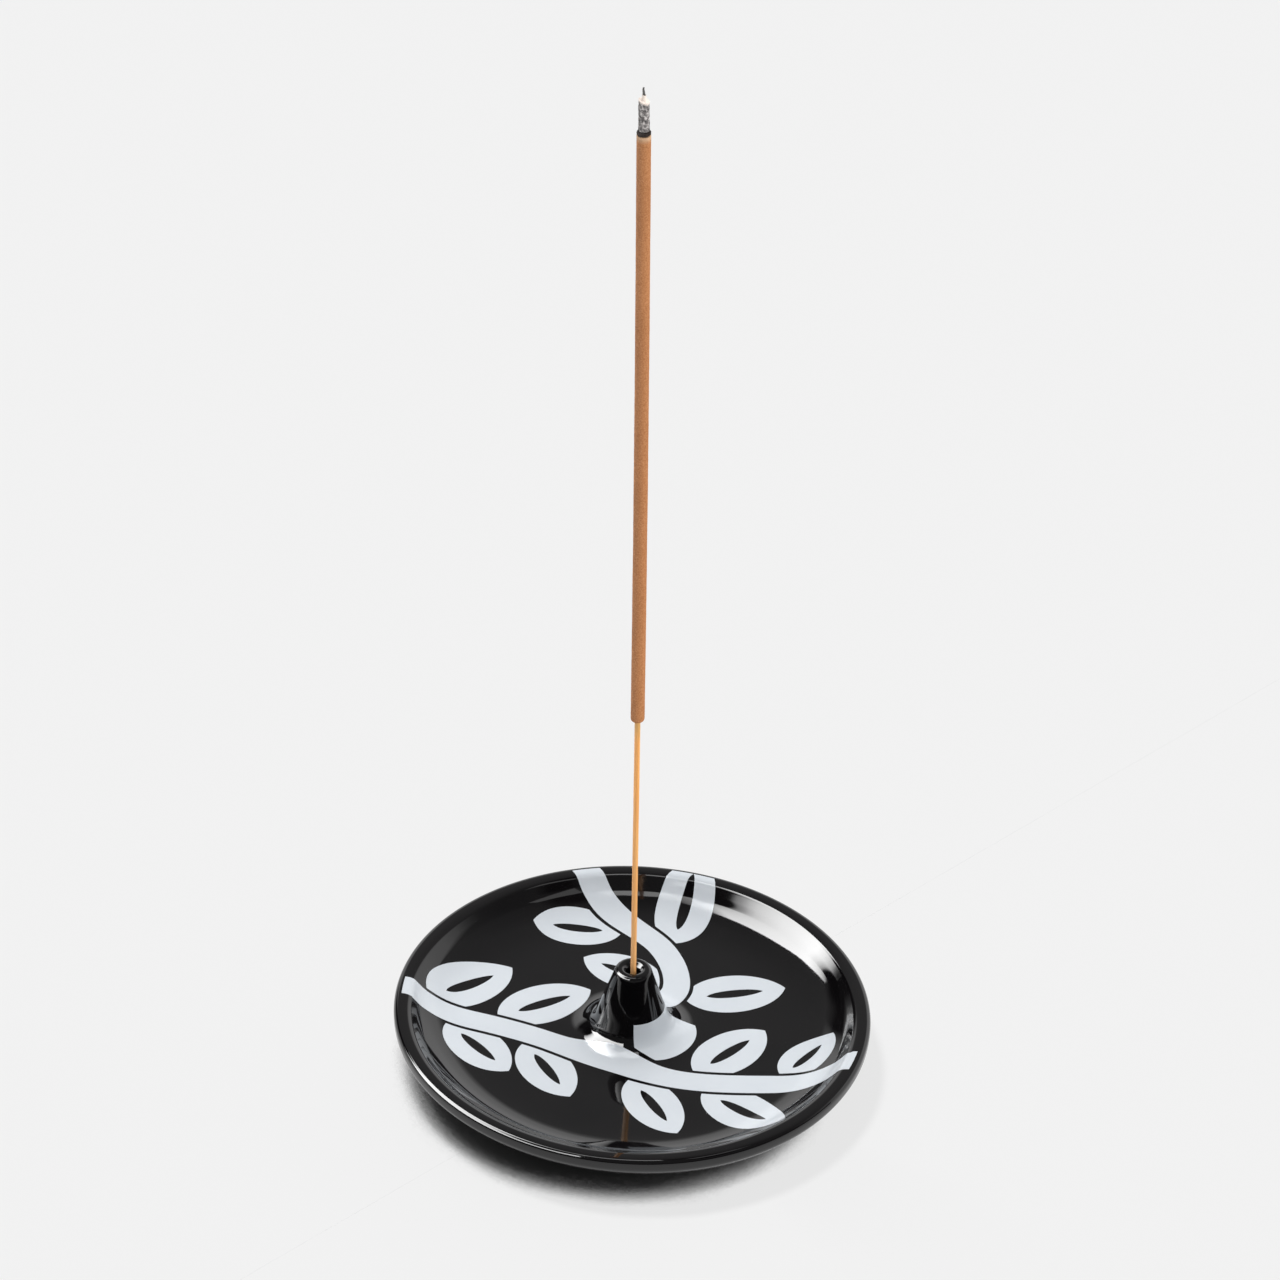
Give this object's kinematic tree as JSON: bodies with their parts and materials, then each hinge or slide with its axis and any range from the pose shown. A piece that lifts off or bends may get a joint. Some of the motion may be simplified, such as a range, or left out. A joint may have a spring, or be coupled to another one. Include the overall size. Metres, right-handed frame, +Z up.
{
  "type": "incense burner",
  "caption": "Round glazed dish with a central cone whose blind hole holds a stick of incense upright and whose coved floor catches the ash.",
  "frame": {"origin": "centre of the foot ring's lower face, on the surface that the dish stands on", "axes": "+Z up the dish's axis; the stick leans a little towards -X"},
  "size_m": [0.11, 0.11, 0.2642],
  "materials": {
    "glaze": "gloss",
    "film": "gloss",
    "bamboo": "satin",
    "paste": "matte",
    "ember": "matte",
    "ash": "matte",
    "char": "matte"
  },
  "bodies": {
    "dish": {"dish": "glaze", "decal_stem_front": "film", "decal_stem_back": "film", "decal_leaf_01": "film", "decal_leaf_02": "film", "decal_leaf_03": "film", "decal_leaf_04": "film", "decal_leaf_05": "film", "decal_leaf_06": "film", "decal_leaf_07": "film", "decal_leaf_08": "film", "decal_leaf_09": "film", "decal_leaf_10": "film", "decal_leaf_11": "film", "decal_leaf_12": "film", "decal_leaf_13": "film"},
    "stick": {"bamboo_core": "bamboo", "charred_core_tip": "char", "incense_paste": "paste", "ember_band": "ember", "ash_column": "ash"}
  },
  "joints": [
    {"name": "stick_lift", "type": "slide", "parent": "dish", "child": "stick", "axis": [-0.022, 0, 0.9998], "range_m": [0, 0.03]}
  ]
}
